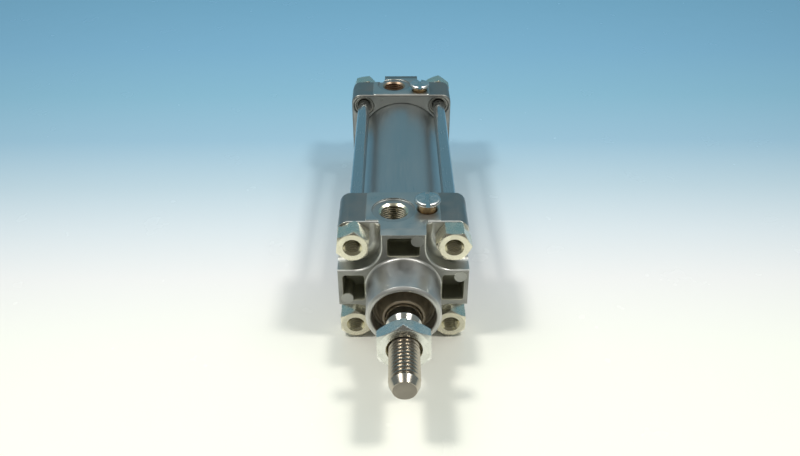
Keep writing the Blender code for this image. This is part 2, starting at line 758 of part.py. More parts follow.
def cushion_screws(metal, rubber):
    """Slotted needle screws; each one's O-ring sits in a groove of the stem."""
    for name, station, rise in (
        ("front", FRONT_FACE + FRONT_SCREW, FRONT_SCREW_RISE),
        ("rear", REAR_FACE - REAR_SCREW, REAR_SCREW_RISE),
    ):
        top = HALF + rise
        profile = [
            (0, 11.9 * MM),
            (0.5 * MM, 11.9 * MM),
            (1.5 * MM, 13.6 * MM),
            (1.5 * MM, 17.4 * MM),
            (SCREW_STEM, 17.5 * MM),
            (SCREW_STEM, 19.0 * MM),
            (2.3 * MM, 19.0 * MM),
            (2.3 * MM, 20.4 * MM),
            (SCREW_STEM, 20.4 * MM),
            (SCREW_STEM, top - 1.75 * MM),
            (SCREW_HEAD - 0.4 * MM, top - 1.55 * MM),
            (SCREW_HEAD, top - 1.15 * MM),
            (SCREW_HEAD, top - 0.85 * MM),
            (SCREW_HEAD - 0.4 * MM, top - 0.35 * MM),
            (SCREW_HEAD - 1.4 * MM, top),
            (0, top),
        ]
        origin = (SCREW_X, station, AXIS_Z)
        screw = turned("cushion_screw_" + name, profile, SMALL, origin, metal, along="Z")
        slot = (-0.75 * MM, 0.75 * MM, -6 * MM, 6 * MM, top - 1.2 * MM, top + 1 * MM)
        cut(screw, box("slot_tool", *slot, origin))
        finish(screw)
        ring_profile = hollow(SCREW_STEM + 0.1 * MM, 2.45 * MM, 19.1 * MM, 20.3 * MM)
        finish(turned("cushion_screw_seal_" + name, ring_profile, TIE_STEPS, origin, rubber, along="Z"))


def main():
    clear_scene()
    cast = material("cast_aluminium", (0.36, 0.37, 0.36), 0.42, 0.9)
    front_cover(cast)
    rear_cover(cast)
    barrel_tube(material("anodised_tube", (0.36, 0.41, 0.43), 0.38, 0.9))
    tie_rods(material("tie_rod_steel", (0.5, 0.52, 0.54), 0.24, 1.0))
    zinc = material("zinc_plated_nuts", (0.66, 0.64, 0.55), 0.3, 1.0)
    tie_nuts("front_nut_", FRONT_FACE, 1, FRONT_NOTCH_DEPTH, FRONT_NUT_TURN, zinc)
    tie_nuts("rear_nut_", REAR_FACE, -1, REAR_NOTCH_DEPTH, REAR_NUT_TURN, zinc)
    piston_rod(material("chromed_rod", (0.6, 0.58, 0.55), 0.14, 1.0))
    rod_jam_nut(material("zinc_plated_jam_nut", (0.66, 0.67, 0.65), 0.28, 1.0))
    rod_bush(material("sintered_bronze", (0.45, 0.3, 0.14), 0.5, 1.0))
    rod_wiper_seal(material("dark_polyurethane", (0.05, 0.045, 0.035), 0.5, 0.0))
    piston(material("piston_aluminium", (0.6, 0.6, 0.6), 0.35, 1.0))
    rubber = material("black_rubber", (0.02, 0.02, 0.02), 0.6, 0.0)
    piston_seals(rubber)
    piston_guide_ring(material("guide_plastic", (0.12, 0.2, 0.16), 0.5, 0.0))
    cushion_bosses(material("boss_aluminium", (0.58, 0.58, 0.6), 0.3, 1.0))
    cover_rings(rubber)
    cushion_screws(material("plated_brass", (0.62, 0.6, 0.55), 0.22, 1.0), rubber)


main()
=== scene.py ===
"""Looks of a tie-rod pneumatic cylinder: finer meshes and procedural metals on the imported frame.

Sizes are in millimetres until a mesh is written. Every finer piece is built in place, so its object
stays at the origin, and its "place" attribute holds millimetres from the piece's own turning axis.
"""

import math

import bmesh
import bpy
from mathutils import Matrix, Vector

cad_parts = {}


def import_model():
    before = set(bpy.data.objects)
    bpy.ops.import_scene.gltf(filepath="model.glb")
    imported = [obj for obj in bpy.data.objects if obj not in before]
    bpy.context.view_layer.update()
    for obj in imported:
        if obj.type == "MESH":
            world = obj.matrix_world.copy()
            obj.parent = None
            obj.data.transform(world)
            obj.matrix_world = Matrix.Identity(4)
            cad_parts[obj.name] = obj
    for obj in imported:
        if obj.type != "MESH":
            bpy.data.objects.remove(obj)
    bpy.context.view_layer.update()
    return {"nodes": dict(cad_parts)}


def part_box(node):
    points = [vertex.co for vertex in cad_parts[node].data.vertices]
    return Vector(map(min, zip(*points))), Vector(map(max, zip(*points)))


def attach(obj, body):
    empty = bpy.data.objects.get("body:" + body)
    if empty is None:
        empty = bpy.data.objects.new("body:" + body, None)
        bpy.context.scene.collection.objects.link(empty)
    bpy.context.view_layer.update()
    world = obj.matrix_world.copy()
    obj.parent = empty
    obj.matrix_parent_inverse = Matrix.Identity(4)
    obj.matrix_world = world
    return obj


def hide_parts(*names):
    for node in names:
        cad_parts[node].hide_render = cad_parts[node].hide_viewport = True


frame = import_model()

MM = 0.001


def span(node, axis):
    """Lowest and highest coordinate of a CAD node along one axis, in millimetres."""
    low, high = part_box(node)
    return low[axis] / MM, high[axis] / MM


# Sizes of the covers
HALF = 22.5
TIE = 17.0
COLLAR_LENGTH = 15.5
COLLAR_RADIUS = 12.6
COLLAR_BORE = 10.7
FRONT_LENGTH = 26.5
REAR_LENGTH = 22.2
CORNER_RADIUS = 4.0
NOTCH_WALL = 7.6
NOTCH_RADIUS = 9.4
NOTCH_FILLET = 3.0
FRONT_NOTCH = 7.7
REAR_NOTCH = 7.2
POCKET_INNER = 13.4
POCKET_OUTER = 20.8
POCKET_HALF = 5.4
POCKET_DEPTH = 8.5
PIN_PAD_RADIUS = 2.1
PIN_PAD_DEPTH = 0.08
WIPER_SEAT = -8.0
CHAMBER_START = 12.0
CHAMBER_RADIUS = 9.2
SPIGOT_RADIUS = 15.8
SPIGOT_LENGTH = 4.5
TUBE_SEAT = 2.4
PAD_HALF = 12.8
PAD_HEIGHT = 0.3
PORT_SPOTFACE = 7.6
PORT_MINOR = 4.4
PORT_MAJOR = 5.0
PORT_PITCH = 0.907
SCREW_HOLE = 3.35

# Sizes of the other pieces
TUBE_RADIUS = 18.5
BORE = 16.0
TIE_ROD_RADIUS = 2.65
TIE_NUT_FLATS = 10.6
TIE_NUT_SHANK = 4.2
TIE_NUT_SHANK_LENGTH = 7.6
ROD_RADIUS = 6.0
THREAD_CREST = 4.95
THREAD_ROOT = 4.1
THREAD_PITCH = 1.5
JAM_NUT_FLATS = 17.0
JAM_NUT_TURN = 32
TIE_NUT_THREAD_DEPTH = 7.8
TIE_NUT_THREAD_PITCH = 1.0
SLIDE_RADIUS = 6.08
GAP = 0.3

# Stations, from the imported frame
FRONT_FACE = span("front_cover", 1)[0] + COLLAR_LENGTH
REAR_FACE = span("rear_cover", 1)[1]
AXIS_Z = sum(span("barrel_tube", 2)) / 2
ROD_TIP, ROD_BACK = span("piston_rod", 1)
NUT_FRONT, NUT_BACK = span("rod_jam_nut", 1)
AXIS = (0.0, 0.0, AXIS_Z)
PORT_X = -3.3
FRONT_PORT_Y = FRONT_FACE + 14.6
REAR_PORT_Y = REAR_FACE - 11.2


def screw_centre(node):
    return sum(span(node, 0)) / 2, sum(span(node, 1)) / 2


CORNERS = {
    "top_left": (-1, 1),
    "top_right": (1, 1),
    "bottom_left": (-1, -1),
    "bottom_right": (1, -1),
}
FRONT_NUT_TURN = {"top_left": 24, "top_right": -1, "bottom_left": 30, "bottom_right": 30}
REAR_NUT_TURN = {"top_left": 10, "top_right": 23, "bottom_left": 30, "bottom_right": 30}

ROUND = 96
EDGE_STEPS = 4
SMOOTH_ANGLE = math.radians(32)


# ---------------------------------------------------------------- materials


def linear(red, green, blue):
    """Linear colour from display values of 0 to 255."""

    def one(value):
        share = value / 255
        return share / 12.92 if share <= 0.04045 else ((share + 0.055) / 1.055) ** 2.4

    return (one(red), one(green), one(blue))


class Surface:
    """A Principled material with helpers for the nodes that feed it.

    A mesh without a "place" attribute, such as a CAD node's, needs centre, a point in metres.
    """

    def __init__(self, name, centre=None):
        self.material = bpy.data.materials.new(name)
        self.material.use_nodes = True
        self.tree = self.material.node_tree
        self.shader = self.tree.nodes["Principled BSDF"]
        if centre is None:
            place = self.add("ShaderNodeAttribute", attribute_name="place")
            self.place = place.outputs["Vector"]
        else:
            here = self.add("ShaderNodeTexCoord").outputs["Object"]
            offset = self.vector("SUBTRACT", here, centre)
            moved = self.vector("SCALE", offset, scale=1 / MM)
            split = self.add("ShaderNodeSeparateXYZ", {0: moved})
            turned = {0: split.outputs[0], 1: split.outputs[2], 2: split.outputs[1]}
            self.place = self.add("ShaderNodeCombineXYZ", turned).outputs[0]

    def add(self, kind, inputs=None, **settings):
        node = self.tree.nodes.new(kind)
        for key, value in settings.items():
            setattr(node, key, value)
        for key, value in (inputs or {}).items():
            if isinstance(value, bpy.types.NodeSocket):
                self.tree.links.new(value, node.inputs[key])
            else:
                node.inputs[key].default_value = value
        return node

    def maths(self, operation, first, second=0.0, clamp=False):
        inputs = {0: first, 1: second}
        return self.add("ShaderNodeMath", inputs, operation=operation, use_clamp=clamp).outputs[0]

    def vector(self, operation, first, second=None, scale=None):
        inputs = {0: first}
        if second is not None:
            inputs[1] = second
        if scale is not None:
            inputs["Scale"] = scale
        made = self.add("ShaderNodeVectorMath", inputs, operation=operation)
        return made.outputs["Value" if operation in ("DOT_PRODUCT", "LENGTH") else "Vector"]

    def noise(self, scale, detail=3.0, stretch=(1, 1, 1)):
        """Noise over the piece, with its frequency per millimetre."""
        moved = self.vector("MULTIPLY", self.place, tuple(scale * s for s in stretch))
        inputs = {"Vector": moved, "Scale": 1.0, "Detail": detail, "Roughness": 0.55}
        return self.add("ShaderNodeTexNoise", inputs).outputs[0]

    def rings(self, per_mm):
        """Fine lines round the axis, on the ends and on the sides of a turned piece alike."""
        split = self.add("ShaderNodeSeparateXYZ", {0: self.place})
        across = self.vector("MULTIPLY", self.place, (1.0, 1.0, 0.0))
        radius = self.vector("LENGTH", across)
        line = self.maths("ADD", radius, split.outputs[2])
        inputs = {"W": line, "Scale": per_mm, "Detail": 2.0, "Roughness": 0.6}
        return self.add("ShaderNodeTexNoise", inputs, noise_dimensions="1D").outputs[0]

    def remap(self, value, low, high, to_low=0.0, to_high=1.0):
        inputs = {0: value, 1: low, 2: high, 3: to_low, 4: to_high}
        return self.add("ShaderNodeMapRange", inputs).outputs[0]

    def mix(self, factor, first, second):
        def rgba(colour):
            return (*colour, 1.0) if isinstance(colour, tuple) else colour

        node = self.add("ShaderNodeMix", data_type="RGBA")
        for key, value in ((0, factor), (6, rgba(first)), (7, rgba(second))):
            if isinstance(value, bpy.types.NodeSocket):
                self.tree.links.new(value, node.inputs[key])
            else:
                node.inputs[key].default_value = value
        return node.outputs[2]

    def edges(self, radius):
        """Softened normal, and how close a point is to a sharp edge."""
        soft = self.add("ShaderNodeBevel", {"Radius": radius * MM}, samples=4).outputs[0]
        normal = self.add("ShaderNodeNewGeometry").outputs["Normal"]
        close = self.vector("DOT_PRODUCT", soft, normal)
        return soft, self.remap(close, 0.99, 0.86)

    def bump(self, height, depth, normal=None):
        inputs = {"Height": height, "Distance": depth * MM, "Strength": 1.0}
        if normal is not None:
            inputs["Normal"] = normal
        return self.add("ShaderNodeBump", inputs).outputs[0]

    def brush_round(self, amount):
        """Stretches highlights across turning lines, for pieces whose axis is vertical."""
        split = self.add("ShaderNodeSeparateXYZ", {0: self.place})
        back = self.maths("MULTIPLY", split.outputs[1], -1.0)
        along = self.add("ShaderNodeCombineXYZ", {0: back, 1: split.outputs[0]}).outputs[0]
        kind = {"vector_type": "VECTOR", "convert_from": "OBJECT", "convert_to": "WORLD"}
        tangent = self.add("ShaderNodeVectorTransform", {0: along}, **kind).outputs[0]
        self.connect(anisotropic=amount, tangent=self.vector("NORMALIZE", tangent))

    def connect(self, **sockets):
        for key, value in sockets.items():
            name = key.replace("_", " ").title()
            if isinstance(value, bpy.types.NodeSocket):
                self.tree.links.new(value, self.shader.inputs[name])
            else:
                self.shader.inputs[name].default_value = value


def metal(name, colour, roughness, **more):
    """A metal with some wear: cloudy tone, grain, machining lines, soft edges lightened partly by wear
    and partly as a painted highlight, and painted shade darkening corners and recesses.
    """
    options = {
        "centre": None,
        "second": None,
        "cloud": 0.10,
        "cloud_scale": 0.16,
        "spread": 0.08,
        "grain": 0.004,
        "grain_scale": 5.0,
        "lines": 0.0,
        "line_scale": 9.0,
        "drawn": 0.0,
        "edge": 0.14,
        "edge_colour": None,
        "edge_gain": 0.5,
        "dirt": 0.0,
        "dirt_reach": 2.0,
        "brushed": None,
    }
    options.update(more)
    made = Surface(name, options["centre"])
    dark = options["second"] or tuple(c * 0.72 for c in colour)
    cloud = made.noise(options["cloud_scale"], 4.0)
    patch = made.remap(cloud, 0.3, 0.7)
    tone = made.mix(made.maths("MULTIPLY", patch, options["cloud"] * 3, True), colour, dark)
    fine = made.noise(options["grain_scale"], 2.0)
    rough = made.remap(cloud, 0.3, 0.7, roughness - options["spread"], roughness + options["spread"])
    rough = made.maths("ADD", rough, made.remap(fine, 0.3, 0.7, -0.03, 0.03))
    normal, edge = made.edges(options["edge"])
    # Edges turn lighter and glossier: partly wear, partly a painted highlight standing in for lamp light
    # on rounded lips.
    bright = options["edge_colour"] or tuple(min(1.0, c * 1.5 + 0.06) for c in colour)
    wear_and_highlight = made.maths("MULTIPLY", edge, made.remap(made.noise(0.9, 3.0), 0.35, 0.6, 0.45, 1.0))
    tone = made.mix(made.maths("MULTIPLY", wear_and_highlight, options["edge_gain"]), tone, bright)
    rough = made.maths("SUBTRACT", rough, made.maths("MULTIPLY", wear_and_highlight, 0.08))
    # Painted shade: ambient occlusion darkens corners, recesses and thread roots towards near black and
    # makes them rougher.
    if options["dirt"]:
        reach = {"Distance": options["dirt_reach"] * MM}
        open_air = made.add("ShaderNodeAmbientOcclusion", reach, samples=6).outputs["AO"]
        crevice_shade_mask = made.remap(open_air, 0.35, 0.95, 1.0, 0.0)
        tone = made.mix(made.maths("MULTIPLY", crevice_shade_mask, options["dirt"]), tone, (0.03, 0.026, 0.02))
        rough = made.maths("ADD", rough, made.maths("MULTIPLY", crevice_shade_mask, 0.15))
    if options["grain"]:
        normal = made.bump(fine, options["grain"], normal)
    if options["lines"]:
        line = made.rings(options["line_scale"])
        normal = made.bump(line, options["lines"], normal)
        rough = made.maths("ADD", rough, made.remap(line, 0.3, 0.7, -0.04, 0.05))
    if options["drawn"]:
        streak = made.noise(6.0, 2.0, (1, 1, 0.012))
        normal = made.bump(streak, options["drawn"], normal)
        rough = made.maths("ADD", rough, made.remap(streak, 0.3, 0.7, -0.05, 0.05))
    made.connect(base_color=tone, roughness=rough, normal=normal, metallic=1.0)
    if options["brushed"]:
        made.brush_round(options["brushed"])
    return made


def plastic(name, colour, roughness, centre=None):
    """Moulded rubber or plastic, with a faint mottle and pebbled skin."""
    made = Surface(name, centre)
    cloud = made.remap(made.noise(0.4, 4.0), 0.3, 0.7)
    tone = made.mix(cloud, colour, tuple(c * 0.6 for c in colour))
    fine = made.noise(7.0, 3.0)
    rough = made.remap(fine, 0.3, 0.7, roughness - 0.08, roughness + 0.1)
    made.connect(base_color=tone, roughness=rough, normal=made.bump(fine, 0.01), metallic=0.0)
    return made


INSIDE = tuple(c * MM for c in AXIS)
# The cream edge colour at high strength is a painted highlight along the cover's edges and lips; the
# occlusion term adds faint painted shade in its corners.
CAST = metal(
    "die_cast_aluminium", (0.29, 0.292, 0.278), 0.42, second=(0.19, 0.193, 0.182), cloud=0.14,
    grain=0.007, grain_scale=3.2, edge=0.25, edge_colour=(0.95, 0.92, 0.80), edge_gain=0.9,
    dirt=0.15, dirt_reach=3.0,
)
# Painted light: the notch walls are the same casting as the cover but get a base about twice as bright
# and slightly bluer, standing in for bluish light reflected into the nuts' shade; the cream edge colour
# is a painted highlight on the lips.
NOTCH = metal(
    "notch_casting_lightened", (0.60, 0.61, 0.59), 0.40, second=(0.46, 0.465, 0.45), cloud=0.14,
    grain=0.007, grain_scale=3.2, edge=0.25, edge_colour=(0.95, 0.92, 0.80), edge_gain=0.9,
)
# The occlusion term, with a 6 mm reach, paints shade deep in the pockets.
POCKET = metal(
    "pocket_casting", (0.44, 0.44, 0.355), 0.55, grain=0.02, grain_scale=2.6,
    edge_gain=0.2, dirt=0.1, dirt_reach=6.0,
)
PIN_MARK = metal("ejector_pin_mark", (0.36, 0.365, 0.35), 0.38, grain=0.004, edge_gain=0.3)
SPOTFACE = metal(
    "spotface_turning", (0.38, 0.40, 0.39), 0.42, grain=0.002, lines=0.004, line_scale=5.0,
    edge=0.08, edge_gain=0.15,
)
MILLED = metal(
    "milled_aluminium", (0.50, 0.51, 0.49), 0.37, cloud=0.12, grain=0.003, lines=0.003,
    line_scale=3.0, edge=0.14, edge_colour=(0.75, 0.75, 0.72), edge_gain=0.3,
)
# The cream edge colour lightens the collar's edges partly as wear and partly as a painted highlight.
TURNED = metal(
    "turned_aluminium", (0.56, 0.56, 0.545), 0.42, grain=0.002, lines=0.006, line_scale=7.0,
    edge=0.16, edge_colour=(0.9, 0.86, 0.78), edge_gain=0.7,
)
# Strong painted shade from the occlusion term makes the counterbore's inner ring dark.
TIE_SEAT = metal(
    "tie_rod_seat", (0.62, 0.61, 0.56), 0.36, grain=0.002, edge=0.12, edge_gain=0.7,
    dirt=0.6, dirt_reach=1.6,
)
# Painted light: the bright cream base stands in for warm highlights on the aluminium thread, and the
# occlusion term paints shade in its roots.
PORT = metal(
    "tapped_thread", (0.74, 0.69, 0.53), 0.20, spread=0.03, grain=0.0, edge=0.03,
    dirt=0.6, dirt_reach=1.1,
)
# The occlusion term paints shade in the thread roots.
PORT_DARK = metal(
    "stained_thread", (0.48, 0.33, 0.22), 0.28, grain=0.0, edge=0.03, dirt=0.35, dirt_reach=1.5,
)
TUBE = metal(
    "anodised_tube", (0.46, 0.49, 0.49), 0.36, cloud=0.05, cloud_scale=0.07, spread=0.03,
    grain=0.003, grain_scale=6.0, drawn=0.003, edge_gain=0.5,
)
TIE_STEEL = metal(
    "plated_tie_rod", (0.54, 0.56, 0.57), 0.21, cloud=0.06, spread=0.04, grain=0.002, drawn=0.002,
)
# The cream tint is a painted reflection of warm light; the zinc plating itself is silver.
ZINC = metal(
    "zinc_plated_nut", (0.76, 0.73, 0.60), 0.28, second=(0.60, 0.56, 0.44), cloud=0.10,
    cloud_scale=0.35, grain=0.001, lines=0.0015, line_scale=5.0, edge=0.12, edge_gain=0.5,
)
# The yellow tint is a painted reflection of warm light on the silver plating, and the occlusion term
# paints shade in the thread roots.
NUT_THREAD = metal(
    "nut_thread", (0.66, 0.61, 0.42), 0.20, spread=0.03, grain=0.0, edge=0.03,
    dirt=0.25, dirt_reach=1.0,
)
JAM_ZINC = metal(
    "zinc_plated_jam_nut", (0.74, 0.75, 0.71), 0.27, second=(0.60, 0.60, 0.55), cloud=0.10,
    cloud_scale=0.3, grain=0.0012, lines=0.003, line_scale=4.0, edge=0.14, edge_gain=0.5,
)
ROD = metal(
    "ground_rod", (0.62, 0.59, 0.53), 0.13, cloud=0.05, spread=0.03, grain=0.0008, lines=0.001,
    line_scale=12.0,
)
# The occlusion term paints shade in the thread roots, darkening them between the highlight bands.
ROD_THREAD = metal(
    "rolled_thread", (0.46, 0.42, 0.36), 0.20, second=(0.38, 0.33, 0.27), cloud=0.08,
    cloud_scale=0.5, spread=0.02, grain=0.0, edge=0.03, edge_gain=0.2, dirt=0.6, dirt_reach=0.8,
)
ROD_END = metal(
    "sawn_rod_end", (0.29, 0.265, 0.23), 0.42, grain=0.004, lines=0.006, line_scale=4.0,
)
NICKEL = metal(
    "nickel_head", (0.62, 0.63, 0.61), 0.22, spread=0.03, grain=0.0, lines=0.001,
    line_scale=6.0, edge=0.10, brushed=0.85,
)
BRASS = metal(
    "brass_neck", (0.50, 0.35, 0.19), 0.36, second=(0.32, 0.22, 0.12), cloud=0.14,
    cloud_scale=0.4, grain=0.004, lines=0.004, line_scale=5.0,
)
BRONZE = metal(
    "sintered_bronze", (0.45, 0.30, 0.14), 0.42, centre=INSIDE, grain=0.010, grain_scale=4.0,
)
PISTON_METAL = metal("piston_aluminium", (0.62, 0.62, 0.62), 0.32, centre=INSIDE, lines=0.004)
BOSS_METAL = metal("boss_aluminium", (0.58, 0.58, 0.6), 0.28, centre=INSIDE, lines=0.004)
WIPER = plastic("polyurethane_wiper", (0.27, 0.22, 0.15), 0.36)
RUBBER = plastic("nitrile_rubber", (0.02, 0.02, 0.02), 0.5, INSIDE)
GUIDE = plastic("filled_guide_plastic", (0.12, 0.2, 0.16), 0.45, INSIDE)


# ---------------------------------------------------------------- mesh building


def new_object(name, bm, look, centre=AXIS):
    """Writes a bmesh made in millimetres about centre as an object at the world's origin."""
    bmesh.ops.remove_doubles(bm, verts=bm.verts, dist=0.0005)
    bmesh.ops.recalc_face_normals(bm, faces=bm.faces)
    bm.transform(Matrix.Scale(MM, 4) @ Matrix.Translation(centre))
    mesh = bpy.data.meshes.new(name)
    bm.to_mesh(mesh)
    bm.free()
    made = bpy.data.objects.new(name, mesh)
    bpy.context.scene.collection.objects.link(made)
    mesh.materials.append(look.material)
    return made


def combine(target, tools, operation):
    """Applies one boolean with all the tools, keeping each face's own material, and removes them."""
    group = bpy.data.collections.new("tools")
    for tool in tools:
        group.objects.link(tool)
    modifier = target.modifiers.new("combine", "BOOLEAN")
    modifier.operation = operation
    modifier.solver = "MANIFOLD"
    modifier.material_mode = "TRANSFER"
    modifier.operand_type = "COLLECTION"
    modifier.collection = group
    graph = bpy.context.evaluated_depsgraph_get()
    result = bpy.data.meshes.new_from_object(target.evaluated_get(graph))
    target.modifiers.clear()
    old = target.data
    target.data = result
    bpy.data.meshes.remove(old)
    for tool in tools:
        bpy.data.objects.remove(tool, do_unlink=True)
    bpy.data.collections.remove(group)


def spun(radius, station, turn, along):
    across, up = radius * math.cos(turn), radius * math.sin(turn)
    return (across, station, up) if along == "Y" else (across, up, station)


def bridge(bm, first, second):
    count = max(len(first), len(second))
    first = first * count if len(first) == 1 else first
    second = second * count if len(second) == 1 else second
    for i in range(count):
        j = (i + 1) % count
        corners = list(dict.fromkeys((first[i], first[j], second[j], second[i])))
        if len(corners) > 2:
            bm.faces.new(corners)


def lathe(bm, profile, steps=ROUND, along="Y", closed=False):
    """Turns (radius, station) points; closed joins the last ring to the first."""
    rings = []
    for radius, station in profile:
        turns = [2 * math.pi * i / steps for i in range(steps if radius > 0 else 1)]
        rings.append([bm.verts.new(spun(radius, station, turn, along)) for turn in turns])
    for first, second in zip(rings, rings[1:] + (rings[:1] if closed else [])):
        bridge(bm, first, second)


# One pitch of a thread's outline from crest to crest: (share of the pitch, share of the rise)
THREAD_SHAPE = (
    (0.0, 1.0), (0.09, 0.98), (0.25, 0.52), (0.41, 0.05),
    (0.5, 0.0), (0.59, 0.05), (0.75, 0.52), (0.91, 0.98),
)


def thread(bm, base, rise, pitch, start, end, steps=ROUND, along="Y"):
    """A right-hand helix that fades into a plain ring of radius base at each end."""
    hand = -1 if along == "Y" else 1
    shape = len(THREAD_SHAPE)
    turns = math.ceil((end - start) / pitch) + 2
    run_out = 0.5 * pitch
    rows = []
    for row in range(turns * shape):
        share, height = THREAD_SHAPE[row % shape]
        line = []
        for i in range(steps):
            station = start + pitch * (row // shape - 1 + share + i / steps)
            station = min(end, max(start, station))
            fade = min(1.0, (station - start) / run_out, (end - station) / run_out)
            radius = base + rise * height * fade
            line.append(bm.verts.new(spun(radius, station, hand * 2 * math.pi * i / steps, along)))
        rows.append(line)
    for row in range(len(rows) - 1):
        for i in range(steps):
            if i < steps - 1:
                near, far = rows[row][i + 1], rows[row + 1][i + 1]
            elif row + 1 + shape < len(rows):
                near, far = rows[row + shape][0], rows[row + 1 + shape][0]
            else:
                continue
            bm.faces.new((rows[row][i], near, far, rows[row + 1][i]))


def rounded(profile, radius, steps=4):
    """The same profile with every inner corner rounded off."""
    points = [profile[0]]
    for before, here, after in zip(profile, profile[1:], profile[2:]):
        corner = Vector(here)
        back, ahead = Vector(before) - corner, Vector(after) - corner
        reach = min(radius, back.length * 0.45, ahead.length * 0.45)
        start = corner + back.normalized() * reach
        end = corner + ahead.normalized() * reach
        for i in range(steps + 1):
            t = i / steps
            point = start * (1 - t) ** 2 + corner * (2 * t * (1 - t)) + end * t**2
            points.append((max(0.0, point.x), point.y))
    points.append(profile[-1])
    return points


def turned(name, profile, look, centre=AXIS, along="Y", soft=0.0, steps=ROUND, closed=False):
    bm = bmesh.new()
    lathe(bm, rounded(profile, soft) if soft else profile, steps, along, closed)
    return new_object(name, bm, look, centre)


def lofted(name, outlines, look, centre=AXIS):
    """Skins a stack of equal outlines and caps both ends."""
    bm = bmesh.new()
    rows = [[bm.verts.new(point) for point in outline] for outline in outlines]
    for first, second in zip(rows, rows[1:]):
        bridge(bm, first, second)
    bm.faces.new(rows[0])
    bm.faces.new(rows[-1])
    return new_object(name, bm, look, centre)


def rounded_box(left, right, low, high, radius, steps=10):
    corners = [(right, high, 0), (left, high, 90), (left, low, 180), (right, low, 270)]
    points = []
    for x, z, start in corners:
        centre_x = x - radius if x == right else x + radius
        centre_z = z - radius if z == high else z + radius
        for i in range(steps + 1):
            turn = math.radians(start + 90 * i / steps)
            points.append((centre_x + radius * math.cos(turn), centre_z + radius * math.sin(turn)))
    return points


def quarter(size):
    """(depth, inset) pairs over a rounded outer edge, from the end face to the side."""
    turns = [math.pi / 2 * i / EDGE_STEPS for i in range(EDGE_STEPS + 1)]
    return [(size * (1 - math.cos(turn)), size * (1 - math.sin(turn))) for turn in turns]


def settle(obj, centre, along="Y", transform=None):
    """Smooth shading with sharp edges kept, and the "place" attribute about the piece's axis."""
    mesh = obj.data
    origin = Vector(centre)
    back = transform.inverted() if transform else Matrix.Translation(-origin)
    places = []
    for vertex in mesh.vertices:
        x, y, z = back @ (vertex.co / MM)
        places.extend((x, z, y) if along == "Y" else (x, y, z))
    attribute = mesh.attributes.new("place", "FLOAT_VECTOR", "POINT")
    attribute.data.foreach_set("vector", places)
    mesh.shade_smooth()
    mesh.set_sharp_from_angle(angle=SMOOTH_ANGLE)
    weighted = obj.modifiers.new("face weights", "WEIGHTED_NORMAL")
    weighted.keep_sharp = True
    weighted.weight = 80


def stand_in(obj, body, slot, *nodes):
    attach(obj, body)
    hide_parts(*nodes)


# ---------------------------------------------------------------- covers


